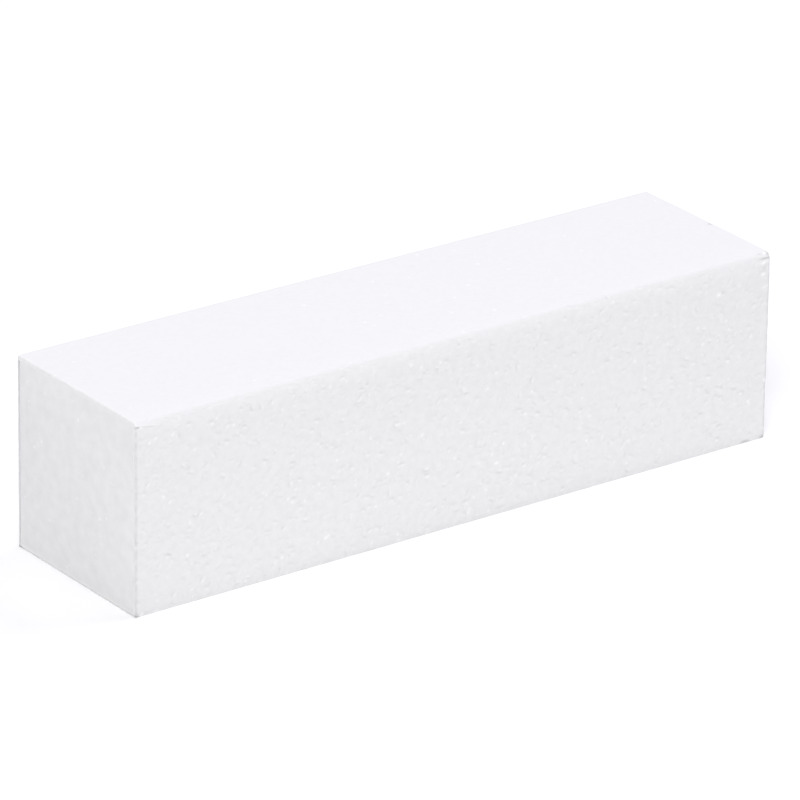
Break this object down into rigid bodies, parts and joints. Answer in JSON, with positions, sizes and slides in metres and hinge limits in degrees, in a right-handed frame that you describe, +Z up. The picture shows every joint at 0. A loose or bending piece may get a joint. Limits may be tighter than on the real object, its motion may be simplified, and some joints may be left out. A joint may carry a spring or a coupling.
{
  "type": "nail buffer block",
  "caption": "Square foam bar with a strip of fine white abrasive paper glued along each long face, for buffing nails.",
  "frame": {"origin": "centre of the bottom face, which is the side that the block lies on", "axes": "+X along the bar, from its left end to its right end seen from the front; -Y out of the front side; +Z up"},
  "size_m": [0.095, 0.025, 0.025],
  "materials": {
    "foam": "matt, fine closed cells cut open at the ends",
    "adhesive": "thin clear laminating glue",
    "backing_paper": "matt white paper, fibrous where it is cut",
    "grit_coat": "rough white abrasive grain in resin"
  },
  "bodies": {
    "root": {"foam_core": "foam", "top_adhesive": "adhesive", "bottom_adhesive": "adhesive", "front_adhesive": "adhesive", "back_adhesive": "adhesive", "top_backing": "backing_paper", "bottom_backing": "backing_paper", "front_backing": "backing_paper", "back_backing": "backing_paper", "top_grit_coat": "grit_coat", "bottom_grit_coat": "grit_coat", "front_grit_coat": "grit_coat", "back_grit_coat": "grit_coat"}
  },
  "joints": []
}
